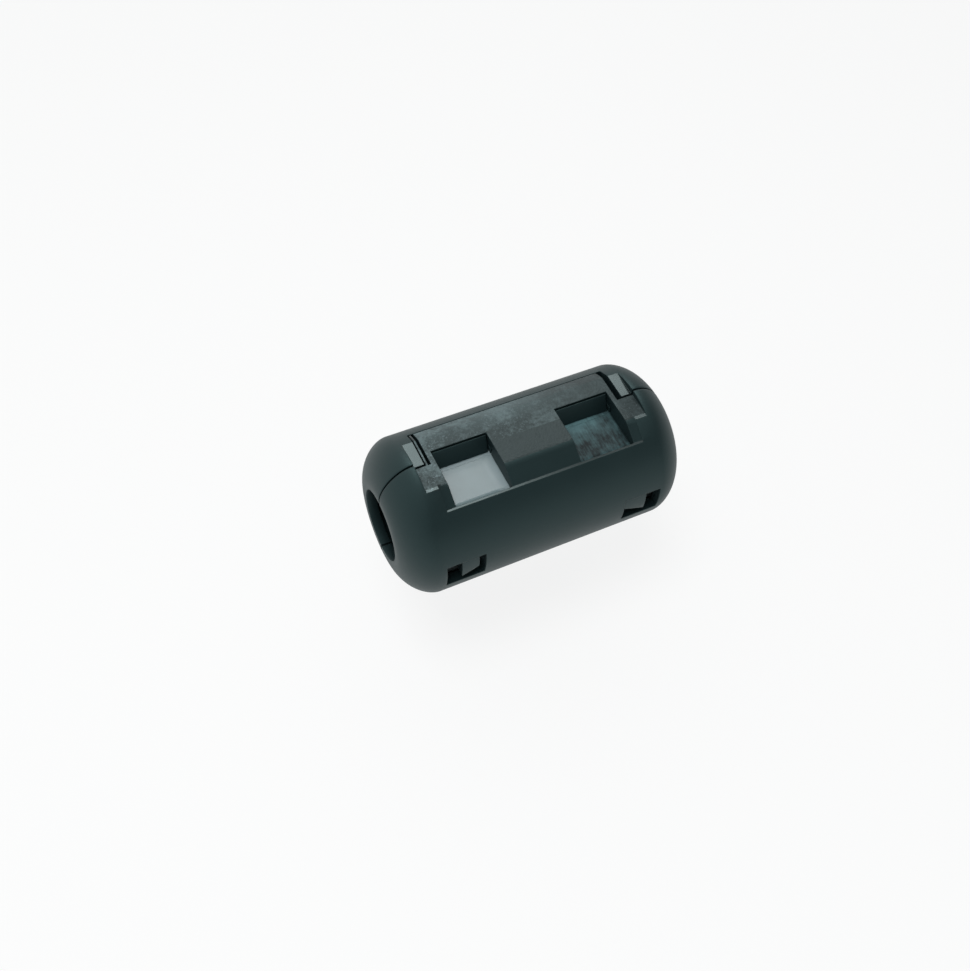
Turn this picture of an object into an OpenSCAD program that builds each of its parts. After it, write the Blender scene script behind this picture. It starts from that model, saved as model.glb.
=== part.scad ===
// Clip-on ferrite bead: two snap-together shells, each holding half of a ferrite core,
// hinged along the bottom and latched along the top by a windowed tongue.
// X runs along the cable, the shells part on the plane Y = 0 and +Z is the latch side.

/* [Body] */
// Overall length along the cable
body_len = 37; // [34:0.5:44]
// Outer diameter of the round body
body_d = 19.5; // [18:0.25:22]
// Length of the rounded corner at each end
corner_len = 4; // [2.5:0.25:4.25]
// Width of the flat ring around the hole, inside the rounded corner
end_ring = 0.65; // [0.5:0.05:1.5]
// Thickness of the wall around the cable hole at each end
end_wall = 1.3; // [1:0.1:1.6]
// Diameter of the hole for the cable
cable_d = 9; // [7:0.25:9.25]
// Gap between the two shells where they part
part_gap = 0.2; // [0.1:0.05:0.3]

/* [Lands] */
// Depth of the flat land on the latch side, below the round surface
latch_drop = 0.7; // [0.5:0.05:0.8]
// Length of the land that shows past each side slot
facet_w = 1.35; // [1:0.05:1.5]
// Depth of the flat land on the hinge side, below the round surface
hinge_drop = 0.7; // [0.5:0.05:0.8]

/* [Core] */
// Distance from each end of the bead to the core
core_recess = 3.5; // [3:0.1:4]
// Thickness of the round wall around the core
side_wall = 1.35; // [1.2:0.05:1.6]
// Clearance between the core and the shells around it
core_fit = 0.15; // [0.1:0.05:0.25]
// How much wider the hole through the core is than the cable hole
core_bore_step = 0.6; // [0.4:0.1:1]
// Bevel on the long edges of each core half
core_bevel = 0.1; // [0.05:0.05:0.3]
// Air gap between the two ground faces of the core
core_gap = 0.02; // [0.01:0.01:0.08]
// Width of the shoulder that holds each end of the core
core_shoulder = 1.75; // [1.5:0.05:2.5]

/* [Tongue] */
// Width of the tongue along the cable
tongue_w = 24.2; // [23.6:0.1:24.8]
// How far the tongue reaches over the cover, from the parting plane
tongue_reach = 5.15; // [4.6:0.05:5.4]
// Thickness of the tongue below the land
tongue_t = 1.35; // [1.2:0.05:1.4]
// Slot between each side of the tongue and the cover
side_slot = 0.7; // [0.5:0.05:0.8]
// Gap between the tongue and the cover at its tip
tip_gap = 0.1; // [0.05:0.05:0.3]
// Gap between the tongue and the cover underneath
under_gap = 0.15; // [0.1:0.05:0.2]
// Thickness of the cover between the tongue and the core
pocket_wall = 0.8; // [0.7:0.05:0.9]
// Width of the thin rib that stands in the slot at the near end
rib_w = 0.25; // [0.2:0.05:0.3]
// Gap between that rib and the cover beside it
rib_gap = 0.12; // [0.1:0.02:0.16]

/* [Windows] */
// Width of the bridge between the two latch windows
bridge_w = 8.9; // [8:0.1:9.5]
// Width of the strip of the tongue outside each window
strip_w = 0.65; // [0.5:0.05:1]
// How far the windows reach up from the parting plane
window_up = 1.55; // [1.3:0.05:1.8]
// How far the windows reach down from the parting plane
window_down = 5.7; // [5:0.1:6]
// Width of the flat ledge along the lower edge of the windows
ledge_w = 0.35; // [0.2:0.05:0.5]
// Slope of the face between that ledge and the land
slant_angle = 32; // [28:1:36]
// How far the ledge and that face run past each window
slant_margin = 1.2; // [0.8:0.1:1.3]

/* [Catches] */
// Clearance between each catch and its window
catch_fit = 0.1; // [0.05:0.05:0.2]
// Depth of the catch's top below the land
catch_drop = 0.2; // [0.1:0.05:0.4]
// Thickness of the catch at its top
catch_tip = 0.15; // [0.1:0.05:0.3]
// How far the catch's root runs on under the tongue
catch_root = 1; // [0.5:0.25:2]
// Distance of the catch's foot from the parting plane
catch_foot = 0.4; // [0.3:0.05:0.6]

/* [Core clips] */
// Distance of each clip window from the end of the core
clip_inset = 0.9; // [0.6:0.1:1.4]
// Length of each clip window along the cable
clip_window_len = 4.9; // [4.5:0.1:5.2]
// Height of each clip window
clip_window_h = 3.7; // [3.2:0.1:4]
// Distance of each clip's outer end from the inner end of its window
clip_len = 3; // [2.6:0.1:3.4]
// Gap between the clip and the inner end of its window, at the near end only
clip_gap = 0.8; // [0.5:0.1:1]
// How far the face of each clip sits in from the outside
clip_sink = 0.1; // [0.06:0.02:0.14]
// Height of each clip at the inner end of its window
clip_short = 1.5; // [1:0.1:2]
// Height of each clip at its outer end
clip_long = 2.9; // [2.2:0.1:3]

/* [Hinge] */
// Distance of the hinge line above the hinge land
hinge_inset = 0.3; // [0.3:0.05:0.4]
// Half width of the groove that the hinge webs fold into
groove_half = 1.6; // [1.5:0.1:2]
// Depth of the groove above the hinge land
groove_depth = 0.9; // [0.8:0.05:1.1]
// Thickness of each hinge web
web_t = 0.3; // [0.25:0.05:0.35]
// Width of each hinge web along the cable
web_w = 6; // [4:0.5:8]
// Distance between the middles of the two hinge webs
web_pitch = 14; // [12:0.5:18]
// Slope of the folded webs, up from the flat
web_angle = 55; // [50:1:58]
// Radius of the bead along the fold
bead_r = 0.25; // [0.2:0.01:0.28]
// Running clearance around the bead
bead_fit = 0.05; // [0.04:0.01:0.08]

/* [Hidden] */

$fn = 96;
corner_power = 1.74;
corner_steps = 14;
eps = 0.01;
cut_over = 1;
far = 2 * body_d;

body_r = body_d / 2;
cable_r = cable_d / 2;
corner_depth = body_r - cable_r - end_ring;
latch_land_h = body_r - latch_drop;
hinge_land_h = body_r - hinge_drop;
chamber_len = body_len - 2 * end_wall;
slot_w = tongue_w + 2 * side_slot;
latch_land_len = slot_w + 2 * facet_w;
tongue_under = latch_land_h - tongue_t;
seat_r = body_r - side_wall;
seat_flat_h = tongue_under - under_gap - pocket_wall;
core_len = body_len - 2 * core_recess;
core_r = seat_r - core_fit;
core_flat_h = seat_flat_h - core_fit;
core_bore_r = cable_r + core_bore_step / 2;
chamber_r = core_r - core_shoulder;
window_w = (tongue_w - bridge_w) / 2 - strip_w;
slant_len = bridge_w + 2 * (window_w + slant_margin);
ledge_h = sqrt(body_r * body_r - (window_down + ledge_w) * (window_down + ledge_w));
slant_end = (far - ledge_h) / tan(slant_angle) - window_down;
clip_window_end = core_len / 2 - clip_inset;
clip_window_start = clip_window_end - clip_window_len;
catch_top = latch_land_h - catch_drop;
catch_back = window_up - catch_fit;
hinge_z = hinge_inset - hinge_land_h;
groove_z = groove_depth - hinge_land_h;

// Outline of the body above the cable axis, as [along the axis, out from it]
function corner_point(turn) = [
    body_len / 2 - corner_len * (1 - pow(sin(turn), 2 / corner_power)),
    body_r - corner_depth * (1 - pow(cos(turn), 2 / corner_power))
];
right_corner = [for (i = [0:corner_steps]) corner_point(90 * i / corner_steps)];
left_corner = [for (i = [corner_steps:-1:0]) [-right_corner[i][0], right_corner[i][1]]];
body_outline = concat([[-body_len / 2, 0]], left_corner, right_corner, [[body_len / 2, 0]]);

// A block given by its lowest and highest corner
module span(low, high) {
    translate(low) cube(high - low);
}

// A round bar along X, centred on the cable axis
module bar(r, len) {
    rotate([0, 90, 0]) cylinder(r = r, h = len, center = true);
}

// A profile drawn in Y and Z, extruded along X between two planes
module along_x(from, to) {
    translate([from, 0, 0])
        rotate([90, 0, 90]) linear_extrude(to - from) children();
}

// What lies on one side of the parting plane: side -1 is the base, 1 is the cover
module half_space(side, gap) {
    reach = side * (far + gap / 2);
    span([-far, min(side * gap / 2, reach), -far], [far, max(side * gap / 2, reach), far]);
}

// Copies of a right-hand shape at both ends of the bead
module both_ends() {
    children();
    mirror([1, 0, 0]) children();
}

// The closed body as one solid, with its lands and its hinge groove
module body_solid() {
    difference() {
        rotate([0, 90, 0]) rotate_extrude()
            polygon([for (p = body_outline) [p[1], p[0]]]);
        span([-latch_land_len / 2, -far, latch_land_h], [latch_land_len / 2, far, far]);
        span([-far, -far, -far], [far, far, -hinge_land_h]);
        span([-far, -groove_half, -far], [far, groove_half, groove_z]);
    }
}

// The hollow for the core and the cable, the same in both shells
module body_hollow() {
    intersection() {
        bar(seat_r, core_len);
        span([-far, -far, -seat_flat_h], [far, far, seat_flat_h]);
    }
    bar(chamber_r, chamber_len);
    bar(cable_r, body_len + 2 * eps);
}

// One clip window on the side wall, with its clip left standing
module clip_window(side, gap) {
    depth = body_r - seat_r + cut_over;
    difference() {
        translate([clip_window_start, 0, 0]) rotate([90, 0, 90])
            linear_extrude(clip_window_len)
                translate([side * (seat_r - cut_over + depth), 0])
                    square([2 * depth, clip_window_h], center = true);
        clip(side, gap);
    }
}

// A clip hangs from its window's upper edge, and its face follows the round surface
module clip(side, gap) {
    top = clip_window_h / 2;
    inner = side * (seat_r - core_fit / 3);
    start = clip_window_start + (gap > 0 ? gap : -eps);
    intersection() {
        bar(body_r - clip_sink, body_len);
        span([start, min(inner, side * far), -top], [start + far, max(inner, side * far), top + eps]);
        rotate([90, 0, 0]) linear_extrude(far, center = true)
            polygon([[clip_window_start - eps, top + eps],
                     [clip_window_start + clip_len, top + eps],
                     [clip_window_start + clip_len, top - clip_long],
                     [clip_window_start - eps, top - clip_short]]);
    }
}

// One shell before its latch parts: half the body, hollowed
module shell_half(side) {
    difference() {
        intersection() {
            body_solid();
            half_space(side, part_gap);
        }
        body_hollow();
        clip_window(side, 0);
        mirror([1, 0, 0]) clip_window(side, clip_gap);
    }
}

// The tongue's plate, which carries on the body's own surface over the cover
module tongue_plate() {
    intersection() {
        body_solid();
        span([-tongue_w / 2, -part_gap, tongue_under], [tongue_w / 2, tongue_reach, far]);
    }
}

// A thin rib in the slot beside the tongue, at the near end only
module slot_rib() {
    middle = rib_gap + (rib_w - slot_w) / 2;
    intersection() {
        body_solid();
        span([middle - rib_w / 2, -part_gap, tongue_under],
             [middle + rib_w / 2, tongue_reach - tip_gap, far]);
    }
}

// The latch windows, cut right through to the core
module latch_windows() {
    both_ends()
        span([bridge_w / 2, -window_down, seat_flat_h - cut_over],
             [bridge_w / 2 + window_w, window_up, far]);
}

// What the slanted face and the ledge below it take off the base, across both windows
module window_slant() {
    along_x(-slant_len / 2, slant_len / 2)
        polygon([[-window_down, ledge_h], [slant_end, far], [-far, far], [-far, ledge_h]]);
}

// Half of the folded web, from the hinge line up into the shell
module hinge_web(side, start) {
    root = (groove_z - hinge_z + web_t) / sin(web_angle);
    for (x = [-web_pitch / 2, web_pitch / 2])
        translate([x - web_w / 2, 0, hinge_z])
            rotate([side > 0 ? web_angle : 180 - web_angle, 0, 0])
                span([0, start, -web_t / 2], [web_w, root, web_t / 2]);
}

// The round bead along the fold of each web
module hinge_bead() {
    for (x = [-web_pitch / 2, web_pitch / 2])
        translate([x, 0, hinge_z]) bar(bead_r, web_w);
}

// Catch in one window: a slanted front and a square back that holds the tongue
module catch() {
    foot = tongue_under - under_gap;
    start = bridge_w / 2 + catch_fit;
    along_x(start, start + window_w - 2 * catch_fit)
        polygon([[catch_foot, seat_flat_h], [catch_back - catch_tip, catch_top],
                 [catch_back, catch_top], [catch_back, foot - eps],
                 [catch_back + catch_root, foot - eps], [catch_back + catch_root, seat_flat_h]]);
}

// Pocket in the cover for the tongue, cleared on every side
module tongue_pocket() {
    span([-slot_w / 2, -part_gap, tongue_under - under_gap],
         [slot_w / 2, tongue_reach + tip_gap, far]);
    both_ends()
        span([bridge_w / 2, -part_gap, seat_flat_h - cut_over],
             [bridge_w / 2 + window_w, catch_back, far]);
}

// Half of the core, with its long outer edges bevelled
module core_half(side) {
    lip = core_flat_h - core_bevel;
    difference() {
        intersection() {
            bar(core_r, core_len);
            half_space(side, core_gap);
            along_x(-core_len / 2, core_len / 2)
                polygon([[0, core_flat_h], [0, -core_flat_h],
                         [side * far, -core_flat_h], [side * far, core_flat_h]]);
        }
        bar(core_bore_r, core_len + cut_over);
        for (z = [-1, 1])
            along_x(-core_len, core_len)
                polygon([[0, z * lip], [side * (core_bevel + core_gap / 2), z * (core_flat_h + eps)],
                         [0, z * (core_flat_h + eps)]]);
    }
}

module base_shell() {
    color("#32383a") {
        difference() {
            union() {
                shell_half(-1);
                tongue_plate();
                slot_rib();
            }
            latch_windows();
            window_slant();
        }
        hinge_web(-1, 0);
        hinge_bead();
    }
}

module cover_shell() {
    color("#363d3f") {
        difference() {
            shell_half(1);
            tongue_pocket();
        }
        both_ends() catch();
        hinge_web(1, bead_r + bead_fit);
    }
}

module base_core() {
    color("#5a6062") core_half(-1);
}

module cover_core() {
    color("#5a6062") core_half(1);
}

base_shell();
cover_shell();
base_core();
cover_core();
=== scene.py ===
# %% [markdown]
# # A clip-on ferrite bead
# The real bead is a plastic clamp, about as long as a thumb joint, that snaps round a cable and
# holds half of a ferrite core on each side of it. One nylon moulding makes both shells and the
# thin webs that join them; two windows in its latch tongue let you see the grey ferrite inside.
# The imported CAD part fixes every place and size, so the first step is to load it as a frame.

# %% Load the frame
import math

import bmesh
import bpy
from mathutils import Matrix, Vector


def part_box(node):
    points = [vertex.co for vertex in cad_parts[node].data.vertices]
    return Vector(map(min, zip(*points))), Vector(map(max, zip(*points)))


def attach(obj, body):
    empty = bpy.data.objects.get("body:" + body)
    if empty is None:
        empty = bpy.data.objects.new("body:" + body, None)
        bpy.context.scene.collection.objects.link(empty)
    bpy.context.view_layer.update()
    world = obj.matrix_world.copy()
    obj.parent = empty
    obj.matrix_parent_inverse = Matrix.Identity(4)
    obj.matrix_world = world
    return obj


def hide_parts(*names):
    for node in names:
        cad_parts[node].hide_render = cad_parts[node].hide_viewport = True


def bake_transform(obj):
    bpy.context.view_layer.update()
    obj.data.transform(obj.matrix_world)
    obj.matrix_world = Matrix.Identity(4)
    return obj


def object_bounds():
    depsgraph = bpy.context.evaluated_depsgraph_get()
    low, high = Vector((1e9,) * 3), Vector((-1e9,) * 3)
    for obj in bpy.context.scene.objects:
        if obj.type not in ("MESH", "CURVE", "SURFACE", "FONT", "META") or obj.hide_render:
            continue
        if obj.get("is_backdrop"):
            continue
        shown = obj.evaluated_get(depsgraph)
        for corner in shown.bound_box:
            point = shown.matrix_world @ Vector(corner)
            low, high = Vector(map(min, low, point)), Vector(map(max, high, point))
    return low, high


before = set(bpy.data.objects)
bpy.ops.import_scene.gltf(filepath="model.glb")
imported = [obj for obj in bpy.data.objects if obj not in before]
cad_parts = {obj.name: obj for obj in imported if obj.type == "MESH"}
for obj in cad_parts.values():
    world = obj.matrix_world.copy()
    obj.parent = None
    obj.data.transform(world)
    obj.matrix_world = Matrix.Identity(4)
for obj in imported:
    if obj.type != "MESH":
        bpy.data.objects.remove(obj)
cad_low, cad_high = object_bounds()
print("CAD box:", [round(c, 5) for c in (*cad_low, *cad_high)])

# %% [markdown]
# ## Sizes that the frame tells
# Blender works in metres here, so one millimetre gets a name. The length, the radius of the round
# body, the flattened hinge side and the size of the core are measured from the frame. The finer
# sizes come just before the cells that need them.

# %% Sizes of the body and the core
mm = 0.001
core_low, core_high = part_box("base_core")
body_len = cad_high.x - cad_low.x
body_r = -cad_low.y
hinge_land = -cad_low.z
core_half_len, core_r, core_flat = core_high.x, -core_low.y, core_high.z
core_half_gap = -core_high.y
print("body", round(body_len / mm, 2), "x", round(2 * body_r / mm, 2), "mm")
print("core", round(2 * core_half_len / mm, 2), "x", round(2 * core_r / mm, 2), "mm")

# %% [markdown]
# ## The latch, in numbers
# X runs along the cable, the shells part at Y = 0, and the latch is on top. Its tongue grows from
# the base, at -Y, and reaches over the cover, with a slot on each side of it. Two windows go
# through the tongue, with a bridge between them. These sizes place shapes and finishes alike, so
# they come before both.

# %% Sizes of the latch
latch_land = body_r - 0.7 * mm
tongue_half, tongue_reach = 12.1 * mm, 5.15 * mm
side_slot, tip_gap = 0.7 * mm, 0.1 * mm
slot_half = tongue_half + side_slot
bridge_half, window_w = 4.45 * mm, 7 * mm
window_up, window_down = 1.55 * mm, 5.7 * mm
print("windows", round(window_w / mm, 2), "x", round((window_up + window_down) / mm, 2), "mm")

# %% [markdown]
# ## Two small helpers for node trees
# Materials and Geometry Nodes are both trees of nodes. One function adds a node with its settings
# and joins its inputs, and another turns an sRGB hex colour into the linear light that the
# renderer works in.

# %% Helpers for node trees
def add(tree, kind, inputs=None, **settings):
    """Adds one node with its settings; an input is a value, another node or one of its sockets."""
    node = tree.nodes.new(kind)
    for name, value in settings.items():
        setattr(node, name, value)
    for key, value in (inputs or {}).items():
        if isinstance(value, bpy.types.Node):
            value = value.outputs[0]
        if isinstance(value, bpy.types.NodeSocket):
            tree.links.new(value, node.inputs[key])
        else:
            node.inputs[key].default_value = value
    return node


def linear(hex_colour):
    """An sRGB hex colour, such as #30383a, as the linear RGBA that a node socket takes."""
    channels = [int(hex_colour[i : i + 2], 16) / 255 for i in (1, 3, 5)]
    return [c / 12.92 if c <= 0.04045 else ((c + 0.055) / 1.055) ** 2.4 for c in channels] + [1]


print("charcoal in linear light:", [round(c, 3) for c in linear("#30383a")])

# %% [markdown]
# ## The shells' plastic
# The shells are injection-moulded nylon 6, coloured charcoal right through. The tool leaves three
# finishes on it. Most of the outside is fine-blasted, which gives the eye a soft satin sheen with
# a barely visible grain. A Principled shader with nylon's IOR does this; a noise a tenth of a
# millimetre wide makes the grain, drawn a little coarser than the real one so that it shows. The
# pigment has a green-blue cast, so the specular reflection gets a tint as well.

# %% Satin moulded nylon
nylon_ior, ferrite_ior, table_ior = 1.53, 1.9, 1.5


def start_material(name, ior):
    """A new material with its tree, its Principled shader and its Object coordinates."""
    material = bpy.data.materials.new(name)
    material.use_nodes = True
    tree = material.node_tree
    coords = add(tree, "ShaderNodeTexCoord").outputs["Object"]
    shader = tree.nodes["Principled BSDF"]
    shader.inputs["IOR"].default_value = ior
    return material, tree, shader, coords


satin_nylon, tree, shader, coords = start_material("satin_moulded_nylon", nylon_ior)
shader.inputs["Specular Tint"].default_value = linear("#ccfafa")
patches = add(tree, "ShaderNodeTexNoise", {"Vector": coords, "Scale": 1 / (5 * mm), "Detail": 3})
tint = add(tree, "ShaderNodeMix",
           {"Factor": patches, 6: linear("#0e181a"), 7: linear("#141f21")}, data_type="RGBA")
tree.links.new(tint.outputs[2], shader.inputs["Base Color"])
sheen = add(tree, "ShaderNodeMapRange", {"Value": patches, "To Min": 0.46, "To Max": 0.54})
tree.links.new(sheen.outputs[0], shader.inputs["Roughness"])
grain = add(tree, "ShaderNodeTexNoise", {"Vector": coords, "Scale": 1 / (0.12 * mm), "Detail": 2})
relief = add(tree, "ShaderNodeBump", {"Height": grain, "Strength": 0.25, "Distance": 0.01 * mm})
tree.links.new(relief.outputs[0], shader.inputs["Normal"])
print("made", satin_nylon.name)

# %% [markdown]
# ### The rough plastic of the latch
# The latch land and the tongue were left as the spark-eroding machine cut them, so their plastic
# is much rougher: tiny craters scatter the light, and pale handling dust stays in them. Cells of a
# Voronoi texture a quarter of a millimetre wide are the craters. A fine noise times a wide one is
# the dust, which so lies in crumbs that gather in drifts.

# %% Spark-eroded nylon: craters and dust
eroded_nylon, tree, shader, coords = start_material("spark_eroded_nylon", nylon_ior)
shader.inputs["Specular Tint"].default_value = linear("#e0fafa")
craters = add(tree, "ShaderNodeTexVoronoi", {"Vector": coords, "Scale": 1 / (0.26 * mm)})
crumbs = add(tree, "ShaderNodeTexNoise",
             {"Vector": coords, "Scale": 1 / (0.6 * mm), "Detail": 5, "Roughness": 0.7})
drifts = add(tree, "ShaderNodeTexNoise", {"Vector": coords, "Scale": 1 / (3.5 * mm), "Detail": 3})
dust = add(tree, "ShaderNodeMath", {0: crumbs, 1: drifts}, operation="MULTIPLY")
dusty = add(tree, "ShaderNodeMapRange", {"Value": dust, "From Min": 0.2, "From Max": 0.38})
print("started", eroded_nylon.name)

# %% [markdown]
# Fine pale flecks show where the tongue has been pried up, beside the slots, and fewer of them
# elsewhere. A distorted noise makes them, and its upper end alone is kept. A Map Range node turns
# the distance from the middle into the share that is left of them.

# %% Spark-eroded nylon: flecks
few_until, full_from = 9.5 * mm, 12 * mm
flecks = add(tree, "ShaderNodeTexNoise",
             {"Vector": coords, "Scale": 1 / (0.4 * mm), "Detail": 3, "Roughness": 0.6,
              "Distortion": 1.5})
flecks = add(tree, "ShaderNodeMapRange", {"Value": flecks, "From Min": 0.56, "From Max": 0.72})
place = add(tree, "ShaderNodeSeparateXYZ", {0: coords}).outputs
from_middle = add(tree, "ShaderNodeMath", {0: place["X"]}, operation="ABSOLUTE")
by_slots = add(tree, "ShaderNodeMapRange",
               {"Value": from_middle, "From Min": few_until, "From Max": full_from, "To Min": 0.4,
                "To Max": 1})
flecks = add(tree, "ShaderNodeMath", {0: flecks, 1: by_slots}, operation="MULTIPLY")
print("flecks are full from", round(full_from / mm, 1), "mm off the middle")

# %% [markdown]
# The tool's witness line, the faint step where two of its steel blocks meet, crosses the bridge
# over the parting line. The plastic below it is smoother and holds almost no dust. At the tongue's
# tip, most of all in the middle, a painted highlight adds paler tone where the curve catches the
# light. Dust and painted highlight both fade towards the far end.

# %% Spark-eroded nylon: where the dust and the painted highlight lie
below_line = add(tree, "ShaderNodeMapRange",
                 {"Value": place["Y"], "From Min": 0.05 * mm, "From Max": -0.05 * mm})
on_bridge = add(tree, "ShaderNodeMapRange",
                {"Value": from_middle, "From Min": bridge_half + 0.15 * mm,
                 "From Max": bridge_half - 0.05 * mm})
smoother = add(tree, "ShaderNodeMath", {0: below_line, 1: on_bridge}, operation="MULTIPLY")
# Painted highlight: paler tone at the tongue's tip, strongest in the middle.
painted_highlight_at_tip = add(tree, "ShaderNodeMapRange",
             {"Value": place["Y"], "From Min": 1.5 * mm, "From Max": 4.5 * mm})
painted_highlight_share = add(tree, "ShaderNodeMapRange",
                {"Value": from_middle, "From Min": 7.5 * mm, "From Max": 2.5 * mm, "To Min": 0.35,
                 "To Max": 0.8})
thinner = add(tree, "ShaderNodeMapRange",
              {"Value": place["X"], "From Min": -2 * mm, "From Max": 9 * mm, "To Min": 1,
               "To Max": 0.25})
kept = add(tree, "ShaderNodeMapRange", {"Value": smoother, "To Min": 1, "To Max": 0.05})
kept = add(tree, "ShaderNodeMath", {0: kept, 1: thinner}, operation="MULTIPLY")
# The dust and the painted highlight at the tip add up to one pale share.
dust_and_painted_highlight = add(tree, "ShaderNodeMath",
               {0: painted_highlight_share, 1: painted_highlight_at_tip, 2: dusty}, operation="MULTIPLY_ADD")
dust_and_painted_highlight = add(tree, "ShaderNodeMath", {0: dust_and_painted_highlight, 1: kept}, operation="MULTIPLY", use_clamp=True)
flecks = add(tree, "ShaderNodeMath", {0: flecks, 1: kept}, operation="MULTIPLY")
tint = add(tree, "ShaderNodeMix",
           {"Factor": dust_and_painted_highlight, 6: linear("#12181a"), 7: linear("#5a686a")}, data_type="RGBA")
tint = add(tree, "ShaderNodeMix",
           {"Factor": flecks, 6: tint.outputs[2], 7: linear("#75858a")}, data_type="RGBA")
tree.links.new(tint.outputs[2], shader.inputs["Base Color"])
print("nodes in the tree so far:", len(tree.nodes))

# %% [markdown]
# Fingers have rubbed the lower edge of each outer corner almost smooth, so it glints, while the
# rest of the far corner is duller. Dust dulls the plastic too, and so does the painted highlight at
# the tip, which shares its mask. One roughness adds these up, and the craters and crumbs together
# raise the relief, except on the rubbed edges.

# %% Spark-eroded nylon: sheen and relief
outer = add(tree, "ShaderNodeMapRange",
            {"Value": from_middle, "From Min": tongue_half + 0.5 * mm,
             "From Max": tongue_half + 0.6 * mm})
lower = add(tree, "ShaderNodeMapRange",
            {"Value": place["Y"], "From Min": -3.1 * mm, "From Max": -3.25 * mm})
rubbed = add(tree, "ShaderNodeMath", {0: outer, 1: lower}, operation="MULTIPLY")
duller = add(tree, "ShaderNodeMapRange",
             {"Value": place["X"], "From Min": 11.5 * mm, "From Max": 12.5 * mm, "To Min": 0,
              "To Max": 0.12})
dull = add(tree, "ShaderNodeMapRange", {"Value": dust_and_painted_highlight, "To Min": 0.52, "To Max": 0.7})
dull = add(tree, "ShaderNodeMath", {0: dull, 1: duller}, operation="ADD")
dull = add(tree, "ShaderNodeMix", {"Factor": rubbed, 2: dull, 3: 0.25})
tree.links.new(dull.outputs[0], shader.inputs["Roughness"])
height = add(tree, "ShaderNodeMath", {0: craters, 1: crumbs}, operation="ADD")
depth = add(tree, "ShaderNodeMapRange", {"Value": rubbed, "To Min": 0.8, "To Max": 0.05})
relief = add(tree, "ShaderNodeBump", {"Height": height, "Strength": depth, "Distance": 0.03 * mm})
tree.links.new(relief.outputs[0], shader.inputs["Normal"])
print("made", eroded_nylon.name)

# %% [markdown]
# ### The polished plastic
# The toolmaker polished three narrow faces, where the halves of the tool seal on each other: the
# cover's two facets beside the tongue, the outside of the thin rib in one slot, and the ledge along
# the windows' foot. They are the same nylon with almost no grain, and mirror the lamp overhead as
# bright patches. Handling has dulled the ledge towards the far end.

# %% Polished nylon
polished_nylon, tree, shader, coords = start_material("polished_nylon", nylon_ior)
shader.inputs["Specular Tint"].default_value = linear("#e0fafa")
shader.inputs["Base Color"].default_value = linear("#1b2122")
wipes = add(tree, "ShaderNodeTexNoise", {"Vector": coords, "Scale": 1 / (1.2 * mm), "Detail": 4})
gloss = add(tree, "ShaderNodeMapRange", {"Value": wipes, "To Min": 0.16, "To Max": 0.3})
place = add(tree, "ShaderNodeSeparateXYZ", {0: coords}).outputs
handled = add(tree, "ShaderNodeMapRange",
              {"Value": place["X"], "From Min": -8 * mm, "From Max": 4 * mm, "To Min": 0,
               "To Max": 0.4})
on_ledge = add(tree, "ShaderNodeMath",
               {0: place["Y"], 1: -window_down}, operation="LESS_THAN")
dull = add(tree, "ShaderNodeMath", {0: handled, 1: on_ledge, 2: gloss}, operation="MULTIPLY_ADD")
tree.links.new(dull.outputs[0], shader.inputs["Roughness"])
relief = add(tree, "ShaderNodeBump", {"Height": wipes, "Strength": 0.2, "Distance": 0.01 * mm})
tree.links.new(relief.outputs[0], shader.inputs["Normal"])
print("made", polished_nylon.name)

# %% [markdown]
# ## The ferrite
# Nickel-zinc ferrite is a pressed and sintered ceramic. The press die leaves its two flats smooth
# and pale grey, as the near window shows. A soft noise that clouds one grey into another does it.

# %% Sintered ferrite: the clean flat
ferrite, tree, shader, coords = start_material("sintered_ferrite", ferrite_ior)
place = add(tree, "ShaderNodeSeparateXYZ", {0: coords}).outputs
# Painted light: a ramp that rises towards the seam and lifts the scuffed end there.
painted_light_to_seam = add(tree, "ShaderNodeMapRange",
              {"Value": place["Y"], "From Min": -3 * mm, "From Max": 0.3 * mm})
cloud = add(tree, "ShaderNodeTexNoise", {"Vector": coords, "Scale": 1 / (2.5 * mm), "Detail": 4})
polished = add(tree, "ShaderNodeMix",
               {"Factor": cloud, 6: linear("#4c6266"), 7: linear("#60787c")}, data_type="RGBA")
print("started", ferrite.name)

# %% [markdown]
# In the far window the catch has scuffed the flat dark, with fine pale streaks that run the way the
# cover slides over it. The streaks are a noise stretched along Y and a rounder noise adds blots.
# Painted light makes both paler near the seam, in the catch's shade, and less so towards the outer
# end. A ramp along X changes from the clean end to the worn one.

# %% Sintered ferrite: the scuffed end, with painted light near the seam
worn_from = 2 * mm
stretched = add(tree, "ShaderNodeMapping", {"Vector": coords, "Scale": (1, 0.15, 1)})
streaks = add(tree, "ShaderNodeTexNoise",
              {"Vector": stretched, "Scale": 1 / (0.3 * mm), "Detail": 4, "Roughness": 0.7})
blots = add(tree, "ShaderNodeTexNoise",
            {"Vector": coords, "Scale": 1 / (1.3 * mm), "Detail": 5, "Roughness": 0.6})
scuffs_and_painted_light = add(tree, "ShaderNodeMath", {0: streaks, 1: blots}, operation="ADD")
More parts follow.
